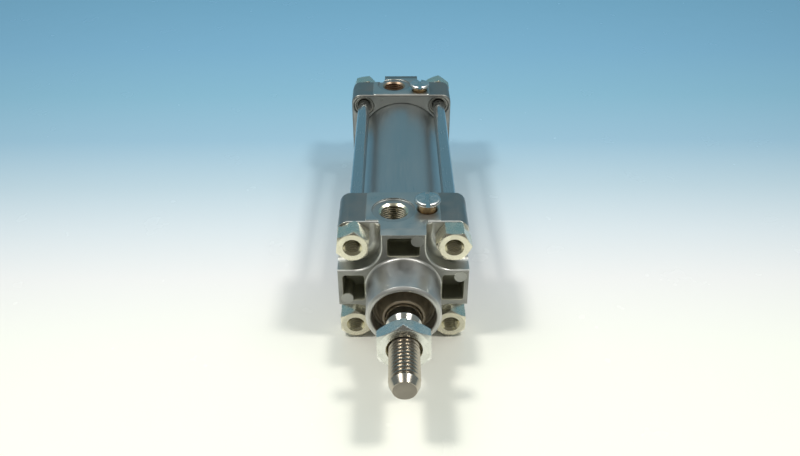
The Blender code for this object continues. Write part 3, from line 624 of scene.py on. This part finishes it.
class Cover:
    """One cast cover, with depths counted from its outer face towards the tube."""

    def __init__(self, name, face, inward, length):
        self.face = face
        self.inward = inward
        self.length = length
        edge = 0.65
        block = [(depth, self.square(inset)) for depth, inset in quarter(edge)]
        block += [(length - depth, self.square(inset)) for depth, inset in reversed(quarter(edge))]
        self.body = self.stack(block, CAST)
        self.body.name = name
        self.cutters = []
        self.additions = []

    def square(self, inset):
        size = HALF - inset
        return rounded_box(-size, size, -size, size, CORNER_RADIUS - inset)

    def y(self, depth):
        return self.face + self.inward * depth

    def stack(self, layers, look):
        outlines = [[(x, self.y(depth), z) for x, z in outline] for depth, outline in layers]
        return lofted("tool", outlines, look)

    def spin(self, profile, look, x=0.0, z=0.0, steps=ROUND):
        stations = [(radius, self.y(depth)) for radius, depth in profile]
        return turned("tool", stations, look, (x, 0, AXIS_Z + z), steps=steps)

    def cut(self, tool):
        self.cutters.append(tool)

    def fuse(self, tool):
        self.additions.append(tool)

    def spigot(self):
        seat, beyond = self.length - TUBE_SEAT, self.length + 1
        inner, outer = SPIGOT_RADIUS - 2, TUBE_RADIUS + GAP
        groove = [(inner, seat), (outer, seat), (outer, beyond), (inner, beyond)]
        stations = [(radius, self.y(depth)) for radius, depth in groove]
        combine(self.body, [turned("tool", stations, TURNED, closed=True)], "DIFFERENCE")
        end = self.length + SPIGOT_LENGTH
        root, lead = 14, 0.4
        outside = [(0, root), (SPIGOT_RADIUS, root), (SPIGOT_RADIUS, end - lead)]
        outside += [(SPIGOT_RADIUS - lead, end), (0, end)]
        self.fuse(self.spin(outside, TURNED))

    def top_pad(self):
        near, far = 9.0, self.length - 0.35

        def outline(inset, level, ramp):
            ends = sorted((self.y(near + inset - ramp), self.y(far - inset)))
            pairs = rounded_box(-PAD_HALF + inset, PAD_HALF - inset, *ends, 1.2 - inset)
            return [(x, y, level) for x, y in pairs]

        levels = [(0, HALF - 1, 5.8), (0, HALF + 0.03, 5.8)]
        levels += [(0.12, HALF + 0.2, 2.6), (0.3, HALF + PAD_HEIGHT, 0)]
        self.fuse(lofted("tool", [outline(*level) for level in levels], MILLED))

    def notches(self, depth):
        lip = 0.75
        shape = [(-1.0, -lip)] + [(station - 0.06, -inset) for station, inset in quarter(lip)]
        steps = 9
        for i in range(steps):
            turn = math.pi / 2 * i / steps
            station = depth - NOTCH_FILLET * (1 - math.sin(turn))
            shape.append((station, NOTCH_FILLET * (1 - math.cos(turn))))
        for across, up in CORNERS.values():
            layers = []
            for station, inset in shape:
                wall = NOTCH_WALL + inset
                pairs = rounded_box(wall, HALF + 9, wall, HALF + 9, NOTCH_RADIUS - inset, 14)
                layers.append((station, [(across * x, up * z) for x, z in pairs]))
            self.cut(self.stack(layers, NOTCH))

    def notch_brows(self, depth):
        """Rounds the edges where each notch's floor meets the cover's outer faces."""
        soft = [(depth - 0.05 + drop, HALF - inset + 0.02) for drop, inset in quarter(0.6)]
        above, beyond = depth - 1, HALF + 1
        outline = [(above, beyond), (above, HALF - 0.58), *soft, (depth + 0.57, beyond)]
        for across, up in CORNERS.values():
            for swap in (False, True):
                ends = []
                for reach in (NOTCH_WALL + 0.8, beyond):
                    end = []
                    for station, level in outline:
                        x, z = (level, reach) if swap else (reach, level)
                        end.append((across * x, self.y(station), up * z))
                    ends.append(end)
                self.cut(lofted("tool", ends, NOTCH))

    def pockets(self, top_depth):
        sides = [
            (lambda x, z: (x, z), top_depth),
            (lambda x, z: (z, x), POCKET_DEPTH),
            (lambda x, z: (-x, -z), POCKET_DEPTH),
            (lambda x, z: (-z, -x), POCKET_DEPTH),
        ]
        for placed, depth in sides:
            layers = []
            shape = [(-1, -0.3)] + [(station - 0.045, -inset) for station, inset in quarter(0.3)]
            shape += [(depth - 0.5, 0.25), (depth - 0.12, 0.4), (depth, 0.75)]
            for station, inset in shape:
                half = POCKET_HALF - inset
                pairs = rounded_box(-half, half, POCKET_INNER + inset, POCKET_OUTER - inset, 1.1, 6)
                layers.append((station, [placed(x, z) for x, z in pairs]))
            tool = self.stack(layers, POCKET)
            x, z = placed(POCKET_HALF - 0.8, POCKET_OUTER - 1.3)
            radius, steps = PIN_PAD_RADIUS, 40
            pad = [(0, -2), (radius, -2), (radius, depth + 1), (0, depth + 1)]
            combine(tool, [self.spin(pad, POCKET, x, z, steps)], "DIFFERENCE")
            self.cut(tool)
            mark = [(0, -1), (radius + 0.1, -1), (radius + 0.02, PIN_PAD_DEPTH), (0, PIN_PAD_DEPTH)]
            self.cut(self.spin(mark, PIN_MARK, x, z, steps))

    def tie_holes(self, notch):
        """A hole for each nut's shank and tie rod, with a stepped counterbore at the tube's end."""
        shank = TIE_NUT_SHANK + GAP
        floor = notch + TIE_NUT_SHANK_LENGTH + GAP
        clear = TIE_ROD_RADIUS + GAP
        ledge, beyond = self.length - 0.9, self.length + 1
        profile = [(0, notch - 2), (shank, notch - 2), (shank, floor), (clear, floor)]
        profile += [(clear, ledge - 0.9), (3.6, ledge - 0.9), (3.6, ledge - 0.2), (3.8, ledge)]
        profile += [(4.2, ledge), (4.2, ledge - 0.5), (4.6, ledge - 0.5), (4.6, self.length - 0.35)]
        profile += [(4.95, self.length + 0.01), (4.95, beyond), (0, beyond)]
        for across, up in CORNERS.values():
            self.cut(self.spin(profile, TIE_SEAT, across * TIE, up * TIE, 64))

    def port(self, station, look):
        """A shallow spotface, then a real pipe-thread helix down to the chamber."""
        centre = (PORT_X, station, AXIS_Z)
        floor = HALF - 0.35
        mouth = PORT_MAJOR + 0.2
        above, chamfer, steps = HALF + 2, 0.12, 72
        face = [(0, above), (PORT_SPOTFACE, above), (PORT_SPOTFACE, floor + chamfer)]
        face += [(PORT_SPOTFACE - chamfer, floor), (0, floor)]
        self.cut(turned("tool", face, SPOTFACE, centre, "Z"))
        bm = bmesh.new()
        start, end = HALF - 7.4, floor - 0.55
        bottom = CHAMBER_RADIUS - 2.5
        lathe(bm, [(0, bottom), (PORT_MINOR, bottom), (PORT_MINOR, start)], steps, "Z")
        thread(bm, PORT_MINOR, PORT_MAJOR - PORT_MINOR, PORT_PITCH, start, end, steps, "Z")
        top = [(PORT_MINOR, end), (mouth, floor + 0.02), (mouth, floor + 1), (0, floor + 1)]
        lathe(bm, top, steps, "Z")
        self.cut(new_object("tool", bm, look, centre))

    def screw_hole(self, centre):
        mouth = SCREW_HOLE + 0.5
        top = HALF + PAD_HEIGHT
        levels = [(0, HALF + 2), (mouth, HALF + 2), (mouth, top + 0.02), (SCREW_HOLE, top - 0.45)]
        levels += [(SCREW_HOLE, 17.2), (1.7, 17.2), (1.7, 12.2), (0.8, 11.2), (0.8, 7.5), (0, 7.5)]
        self.cut(turned("tool", levels, MILLED, (*centre, AXIS_Z), "Z", steps=64))

    def machined_end(self):
        """The face against the tube is milled, not cast."""
        mesh = self.body.data
        slots = [slot.name for slot in mesh.materials]
        if MILLED.material.name not in slots:
            mesh.materials.append(MILLED.material)
            slots.append(MILLED.material.name)
        plane = self.y(self.length) * MM
        for face in mesh.polygons:
            if abs(face.center.y - plane) < 1e-6 and abs(face.normal.y) > 0.99:
                face.material_index = slots.index(MILLED.material.name)

    def done(self, body, node):
        combine(self.body, self.additions, "UNION")
        combine(self.body, self.cutters, "DIFFERENCE")
        self.machined_end()
        settle(self.body, AXIS)
        stand_in(self.body, body, "cast_aluminium", node)


def front_cover():
    cover = Cover("die_cast_front_cover", FRONT_FACE, 1, FRONT_LENGTH)
    mouth = -COLLAR_LENGTH
    collar = [(0, 2), (13.7, 2), (13.7, 0.3), (13.5, 0.06), (13.1, -0.15), (12.8, -0.5), (12.7, -1.1)]
    collar += [(COLLAR_RADIUS, mouth + 0.75), (COLLAR_RADIUS - 0.12, mouth + 0.6)]
    collar += [(COLLAR_RADIUS - 0.6, mouth + 0.1), (COLLAR_RADIUS - 0.75, mouth), (0, mouth)]
    cover.fuse(cover.spin(collar, TURNED, steps=128))
    cover.spigot()
    cover.top_pad()
    end = FRONT_LENGTH + SPIGOT_LENGTH + 1
    bush = 8.1
    flare = COLLAR_BORE + 0.5
    bores = [(0, mouth - 1), (flare, mouth - 1), (flare, mouth - 0.05)]
    bores += [(COLLAR_BORE + 0.1, mouth + 0.35), (COLLAR_BORE, mouth + 0.7), (COLLAR_BORE, WIPER_SEAT)]
    bores += [(bush, WIPER_SEAT), (bush, CHAMBER_START), (CHAMBER_RADIUS, CHAMBER_START)]
    bores += [(CHAMBER_RADIUS, end), (0, end)]
    cover.cut(cover.spin(bores, TURNED, steps=128))
    slope = [(-1, HALF - 0.5), (3.4, HALF + 0.04), (3.4, HALF + 1), (-1, HALF + 1)]
    sides = [[(x, cover.y(depth), z) for depth, z in slope] for x in (-9, 9)]
    cover.cut(lofted("tool", sides, MILLED))
    cover.pockets(POCKET_DEPTH)
    cover.notches(FRONT_NOTCH)
    cover.notch_brows(FRONT_NOTCH)
    cover.tie_holes(FRONT_NOTCH)
    cover.port(FRONT_PORT_Y, PORT)
    cover.screw_hole(screw_centre("cushion_screw_front"))
    cover.done("cylinder", "front_cover")


def rear_cover():
    cover = Cover("die_cast_rear_cover", REAR_FACE, -1, REAR_LENGTH)
    cover.spigot()
    cover.top_pad()
    end = REAR_LENGTH + SPIGOT_LENGTH + 1
    bottom = 5.2
    chamber = [(0, bottom), (CHAMBER_RADIUS, bottom), (CHAMBER_RADIUS, end), (0, end)]
    cover.cut(cover.spin(chamber, TURNED))
    centring = [(0, -1), (13.0, -1), (13.0, -0.05), (12.6, 0.3), (12.5, 0.5), (12.5, 1.8)]
    centring += [(12.3, 2.0), (0, 2.0)]
    cover.cut(cover.spin(centring, TURNED, steps=128))
    cover.pockets(REAR_FACE - REAR_PORT_Y - 6)
    cover.notches(REAR_NOTCH)
    cover.notch_brows(REAR_NOTCH)
    cover.tie_holes(REAR_NOTCH)
    cover.port(REAR_PORT_Y, PORT_DARK)
    cover.screw_hole(screw_centre("cushion_screw_rear"))
    cover.done("cylinder", "rear_cover")


# ---------------------------------------------------------------- tube, tie rods, nuts


def barrel():
    near, far = span("barrel_tube", 1)
    flare, rim = BORE + 0.4, TUBE_RADIUS - 0.15
    profile = [(BORE, far - 0.5), (flare, far), (rim, far), (TUBE_RADIUS, far - 0.15)]
    profile += [(TUBE_RADIUS, near + 0.15), (rim, near), (flare, near), (BORE, near + 0.5)]
    tube = turned("drawn_barrel", profile, TUBE, steps=160, closed=True)
    settle(tube, AXIS)
    stand_in(tube, "cylinder", "anodised_tube", "barrel_tube")


def tie_rods():
    for corner, (across, up) in CORNERS.items():
        node = "tie_rod_" + corner
        near, far = span(node, 1)
        neck = TIE_ROD_RADIUS - 0.05
        profile = [(0, near), (neck - 0.5, near), (neck, near + 0.5), (neck, near + 9)]
        profile += [(TIE_ROD_RADIUS, near + 9.2)]
        profile += [(r, near + far - y) for r, y in reversed(profile)]
        centre = (across * TIE, 0, AXIS_Z + up * TIE)
        bar = turned("drawn_" + node, profile, TIE_STEEL, centre, soft=0.2, steps=64)
        settle(bar, centre)
        stand_in(bar, "cylinder", "tie_rod_steel", node)


def hexagon(flats, station):
    radius = flats / math.sqrt(3)
    turns = [math.radians(60 * i) for i in range(6)]
    return [(radius * math.cos(turn), station, radius * math.sin(turn)) for turn in turns]


def hex_blank(flats, near, far, chamfer_near, chamfer_far, look):
    """A hexagon along Y with its corners turned down at the chosen ends."""
    made = lofted("hex", [hexagon(flats, near), hexagon(flats, far)], look, (0, 0, 0))
    corner, face = flats / math.sqrt(3) + 0.3, flats / 2 * 0.97
    drop = (corner - face) * math.tan(math.radians(33))
    start = [(0, near), (face - 0.15, near), (face + 0.1, near + 0.09), (corner, near + drop)]
    end = [(corner, far - drop), (face + 0.1, far - 0.09), (face - 0.15, far), (0, far)]
    if not chamfer_near:
        start = [(0, near - 1), (corner, near - 1)]
    if not chamfer_far:
        end = [(corner, far + 1), (0, far + 1)]
    combine(made, [turned("tool", start + end, look, (0, 0, 0), steps=128)], "INTERSECT")
    return made


def tie_nut_mesh(head, depth):
    """A long nut: its head from -head to 0, threaded to depth, then plain down to its tie rod."""
    nut = hex_blank(TIE_NUT_FLATS, -head, 0, True, False, ZINC)
    end = TIE_NUT_SHANK_LENGTH
    chamfer, steps = 0.2, 64
    shank = [(0, -1), (TIE_NUT_SHANK, -1), (TIE_NUT_SHANK, end - chamfer)]
    shank += [(TIE_NUT_SHANK - chamfer, end), (0, end)]
    combine(nut, [turned("tool", shank, ZINC, (0, 0, 0), steps=steps)], "UNION")
    bm = bmesh.new()
    minor, major, mouth, clear = 2.5, 3.0, 3.3, 2.8
    start, floor = -head + 0.62, -head + depth
    lathe(bm, [(0, -head - 1), (mouth, -head - 1), (mouth, -head - 0.02), (minor, start)], steps)
    thread(bm, minor, major - minor, TIE_NUT_THREAD_PITCH, start, floor, steps)
    lathe(bm, [(minor, floor), (clear, floor + 0.1), (clear, end + 1), (0, end + 1)], steps)
    combine(nut, [new_object("tool", bm, NUT_THREAD, (0, 0, 0))], "DIFFERENCE")
    return nut


def tie_nuts(side, face, inward, notch, turns):
    head = notch - GAP - 0.2
    pattern = tie_nut_mesh(head, TIE_NUT_THREAD_DEPTH)
    for corner, (across, up) in CORNERS.items():
        nut = bpy.data.objects.new(f"plated_{side}_nut_{corner}", pattern.data.copy())
        bpy.context.scene.collection.objects.link(nut)
        place = Matrix.Translation((across * TIE, face + inward * (notch - GAP), AXIS_Z + up * TIE))
        half_turn = Matrix.Rotation(0 if inward > 0 else math.pi, 4, "Z")
        place = place @ half_turn @ Matrix.Rotation(math.radians(-turns[corner] * inward), 4, "Y")
        scale = Matrix.Scale(MM, 4)
        nut.data.transform(scale @ place @ scale.inverted())
        settle(nut, AXIS, transform=place)
        stand_in(nut, "cylinder", "zinc_plated_nuts", f"{side}_nut_{corner}")
    bpy.data.objects.remove(pattern, do_unlink=True)


# ---------------------------------------------------------------- rod, nut, seal, screws


def split_slots(obj, looks, choose):
    """Gives each face the look that choose(centre in mm, normal) names by number."""
    mesh = obj.data
    for look in looks:
        mesh.materials.append(look.material)
    for face in mesh.polygons:
        face.material_index = choose(face.center / MM, face.normal)


def piston_rod():
    bm = bmesh.new()
    tip = ROD_TIP
    thread_end = FRONT_FACE - 21.7
    shoulder = FRONT_FACE - 19.7
    start, end = tip + 2.75, thread_end - 0.5
    nose = [(0, tip), (3.6, tip), (3.75, tip + 0.08), (4.8, tip + 2.35), (4.82, tip + 2.45)]
    nose += [(4.6, tip + 2.6), (THREAD_ROOT, start)]
    lathe(bm, nose)
    thread(bm, THREAD_ROOT, THREAD_CREST - THREAD_ROOT, THREAD_PITCH, start, end)
    neck = span("piston", 1)[0] - 0.1
    stem = [(THREAD_ROOT, end), (4.6, thread_end - 0.15), (THREAD_CREST, thread_end)]
    stem += [(ROD_RADIUS - 0.12, shoulder - 0.12), (ROD_RADIUS, shoulder + 0.08), (ROD_RADIUS, neck)]
    stem += [(5.0, neck + 0.1), (5.0, ROD_BACK - 0.5), (4.5, ROD_BACK), (0, ROD_BACK)]
    lathe(bm, stem)
    rod = new_object("ground_piston_rod", bm, ROD)

    def choose(centre, normal):
        if centre.y < tip + 0.03 and normal.y < -0.9:
            return 2
        return 1 if centre.y < thread_end - 0.2 else 0

    split_slots(rod, (ROD_THREAD, ROD_END), choose)
    settle(rod, AXIS)
    stand_in(rod, "rod", "chromed_rod", "piston_rod")


def jam_nut():
    nut = hex_blank(JAM_NUT_FLATS, NUT_FRONT, NUT_BACK, True, True, JAM_ZINC)
    bm = bmesh.new()
    minor, major, mouth = 5.06, 5.4, 5.85
    front, back = NUT_FRONT, NUT_BACK
    start, end = front + 0.62, back - 0.62
    lathe(bm, [(0, front - 1), (mouth, front - 1), (mouth, front - 0.02), (minor, start)])
    thread(bm, minor, major - minor, THREAD_PITCH, start, end)
    lathe(bm, [(minor, end), (mouth, back + 0.02), (mouth, back + 1), (0, back + 1)])
    combine(nut, [new_object("tool", bm, NUT_THREAD, (0, 0, 0))], "DIFFERENCE")
    nut.name = "plated_jam_nut"
    place = Matrix.Translation(AXIS) @ Matrix.Rotation(math.radians(-JAM_NUT_TURN), 4, "Y")
    scale = Matrix.Scale(MM, 4)
    nut.data.transform(scale @ place @ scale.inverted())
    settle(nut, AXIS, transform=place)
    stand_in(nut, "jam_nut", "zinc_plated_jam_nut", "rod_jam_nut")


def wiper_seal():
    mouth, seat = FRONT_FACE - COLLAR_LENGTH, FRONT_FACE + WIPER_SEAT - 0.1
    outer = COLLAR_BORE - 0.1
    profile = [(SLIDE_RADIUS, seat - 1.2), (SLIDE_RADIUS + 0.6, seat), (outer, seat), (outer, seat - 2.6)]
    profile += [(outer - 0.6, seat - 2.6), (outer - 1.2, seat - 1.8), (8.6, seat - 2.2)]
    profile += [(7.1, mouth + 0.3), (6.75, mouth - 0.15), (6.35, mouth - 0.15)]
    profile += [(SLIDE_RADIUS, mouth + 0.3), (SLIDE_RADIUS, mouth + 1.2)]
    profile += [(6.6, mouth + 2.6), (6.6, seat - 2.4), (SLIDE_RADIUS, seat - 1.2)]
    seal = turned("moulded_wiper_seal", profile, WIPER, soft=0.25)
    settle(seal, AXIS)
    stand_in(seal, "cylinder", "dark_polyurethane", "rod_wiper_seal")


def cushion_screws():
    for side in ("front", "rear"):
        node = "cushion_screw_" + side
        centre = (*screw_centre(node), AXIS_Z)
        top = span(node, 2)[1] - AXIS_Z
        head, stem = 4.55, 3.1
        profile = [(0, 11.9), (0.5, 11.9), (1.5, 13.6), (1.5, 17.4), (stem, 17.5), (stem, 19.0)]
        profile += [(2.3, 19.0), (2.3, 20.4), (stem, 20.4), (stem, top - 1.8)]
        profile += [(head - 0.5, top - 1.6), (head - 0.1, top - 1.3), (head, top - 1.1)]
        profile += [(head, top - 0.85), (head - 0.12, top - 0.55), (head - 0.4, top - 0.25)]
        profile += [(head - 0.8, top - 0.06), (head - 1.2, top), (0, top)]
        soft = rounded(profile, 0.12, 3)
        screw = turned("slotted_screw_" + side, soft, NICKEL, centre, "Z")
        slot = [(-0.75, -6), (0.75, -6), (0.75, 6), (-0.75, 6)]
        levels = ((top - 1.2, 1.0), (top - 0.12, 1.0), (top + 0.02, 1.22), (top + 1, 1.22))
        outlines = [[(x * wide, y, z) for x, y in slot] for z, wide in levels]
        combine(screw, [lofted("tool", outlines, NICKEL, centre)], "DIFFERENCE")
        neck_top = AXIS_Z + top - 1.7

        def choose(at, normal, limit=neck_top):
            return 1 if at.z < limit else 0

        split_slots(screw, (BRASS,), choose)
        settle(screw, centre, "Z")
        stand_in(screw, side + "_adjuster", "plated_brass", node)


def hidden_nodes():
    """The pieces inside keep their CAD meshes and get their real finishes."""
    looks = {
        "rod_bush": BRONZE,
        "piston": PISTON_METAL,
        "piston_guide_ring": GUIDE,
        "cushion_boss_front": BOSS_METAL,
        "cushion_boss_rear": BOSS_METAL,
    }
    for name, obj in frame["nodes"].items():
        look = looks.get(name, RUBBER if "seal" in name else None)
        if look:
            for place in obj.material_slots:
                place.link = "OBJECT"
                place.material = look.material


# ---------------------------------------------------------------- studio


def floor():
    """A pale sheet whose tone runs from warm white in front to blue behind."""
    mesh = bpy.data.meshes.new("studio_floor")
    reach = 3.0
    corners = [(-reach, -reach, 0), (reach, -reach, 0), (reach, reach, 0), (-reach, reach, 0)]
    mesh.from_pydata(corners, [], [(0, 1, 2, 3)])
    made = bpy.data.objects.new("studio_floor", mesh)
    bpy.context.scene.collection.objects.link(made)
    paper = Surface("studio_paper", (0.0, 0.0, 0.0))
    split = paper.add("ShaderNodeSeparateXYZ", {0: paper.place})
    near, far = -100, 350
    share = paper.remap(split.outputs[2], near, far)
    ramp = paper.add("ShaderNodeValToRGB", {0: share}).color_ramp
    stops = (
        (-100, (250, 249, 238)),
        (-50, (247, 246, 236)),
        (-8, (238, 236, 235)),
        (26, (219, 226, 231)),
        (64, (193, 212, 223)),
        (111, (162, 197, 218)),
        (170, (148, 195, 219)),
        (245, (142, 194, 226)),
        (344, (140, 197, 231)),
    )
    while len(ramp.elements) < len(stops):
        ramp.elements.new(0.5)
    for element, (station, colour) in zip(ramp.elements, stops):
        element.position = (station - near) / (far - near)
        element.color = (*linear(*colour), 1.0)
    tone = paper.tree.nodes["Color Ramp"].outputs[0]
    rough = paper.remap(paper.noise(0.05, 3.0), 0.3, 0.7, 0.2, 0.28)
    paper.connect(base_color=tone, roughness=rough, metallic=0.0)
    paper.shader.inputs["IOR"].default_value = 1.5
    mesh.materials.append(paper.material)


def world():
    """Soft surroundings: blue behind the cylinder, dim and warm on the viewer's side."""
    made = bpy.data.worlds.new("studio")
    bpy.context.scene.world = made
    made.use_nodes = True
    tree = made.node_tree
    tree.nodes.clear()
    output = tree.nodes.new("ShaderNodeOutputWorld")
    background = tree.nodes.new("ShaderNodeBackground")
    direction = tree.nodes.new("ShaderNodeTexCoord")
    split = tree.nodes.new("ShaderNodeSeparateXYZ")
    behind = tree.nodes.new("ShaderNodeMapRange")
    ramp = tree.nodes.new("ShaderNodeValToRGB")
    tree.links.new(direction.outputs["Generated"], split.inputs[0])
    tree.links.new(split.outputs[1], behind.inputs[0])
    behind.inputs[1].default_value = -1.0
    behind.inputs[2].default_value = 1.0
    tree.links.new(behind.outputs[0], ramp.inputs[0])
    stops = (
        (0.0, (0.22, 0.21, 0.185)),
        (0.4, (0.36, 0.375, 0.36)),
        (0.62, (0.40, 0.52, 0.56)),
        (1.0, (0.20, 0.46, 0.60)),
    )
    elements = ramp.color_ramp.elements
    while len(elements) < len(stops):
        elements.new(0.5)
    for element, (position, colour) in zip(elements, stops):
        element.position = position
        element.color = (*colour, 1.0)
    tree.links.new(ramp.outputs[0], background.inputs[0])
    background.inputs["Strength"].default_value = 0.66
    tree.links.new(background.outputs[0], output.inputs[0])


def lamp(name, position, size, power, colour):
    """A square area light, in metres and watts, aimed at the origin."""
    light = bpy.data.lights.new(name, "AREA")
    light.shape = "SQUARE"
    light.size = size
    light.energy = power
    light.color = colour
    made = bpy.data.objects.new(name, light)
    made.location = position
    made.rotation_mode = "QUATERNION"
    made.rotation_quaternion = (-Vector(position)).to_track_quat("-Z", "Y")
    bpy.context.scene.collection.objects.link(made)


def lights():
    """Two small warm lamps near the cylinder, and two large cool panels above and outside them."""
    warm, cool = (1.0, 0.97, 0.9), (0.95, 0.98, 1.0)
    small, large = 0.062, 0.42
    lamp("lamp_left", (-0.20, -0.075, 0.42), small, 0.85, warm)
    lamp("lamp_right", (0.20, -0.075, 0.42), small, 0.78, warm)
    lamp("panel_left", (-0.46, 0.08, 0.82), large, 1.5, cool)
    lamp("panel_right", (0.46, 0.08, 0.82), large, 1.4, cool)


def camera():
    """Looks down on the rod's end from in front, about 250 mm from the front cover."""
    data = bpy.data.cameras.new("camera")
    data.sensor_width = 36.0
    data.lens = 32.63
    data.clip_start = 0.005
    data.clip_end = 20.0
    made = bpy.data.objects.new("camera", data)
    right = Vector((0.99999, -0.00505, -0.00114))
    up = Vector((0.00380, 0.56682, 0.82383))
    back = Vector((-0.00351, -0.82382, 0.56684))
    place = Matrix((right, up, back)).transposed().to_4x4()
    eye = Vector((-1.96, FRONT_FACE - 194.71, AXIS_Z + 159.10))
    place.translation = eye * MM
    made.matrix_world = place
    bpy.context.scene.collection.objects.link(made)
    bpy.context.scene.camera = made
    bpy.context.scene.view_settings.view_transform = "Standard"


front_cover()
rear_cover()
barrel()
tie_rods()
tie_nuts("front", FRONT_FACE, 1, FRONT_NOTCH, FRONT_NUT_TURN)
tie_nuts("rear", REAR_FACE, -1, REAR_NOTCH, REAR_NUT_TURN)
piston_rod()
jam_nut()
wiper_seal()
cushion_screws()
hidden_nodes()
floor()
world()
lights()
camera()

bpy.context.view_layer.update()
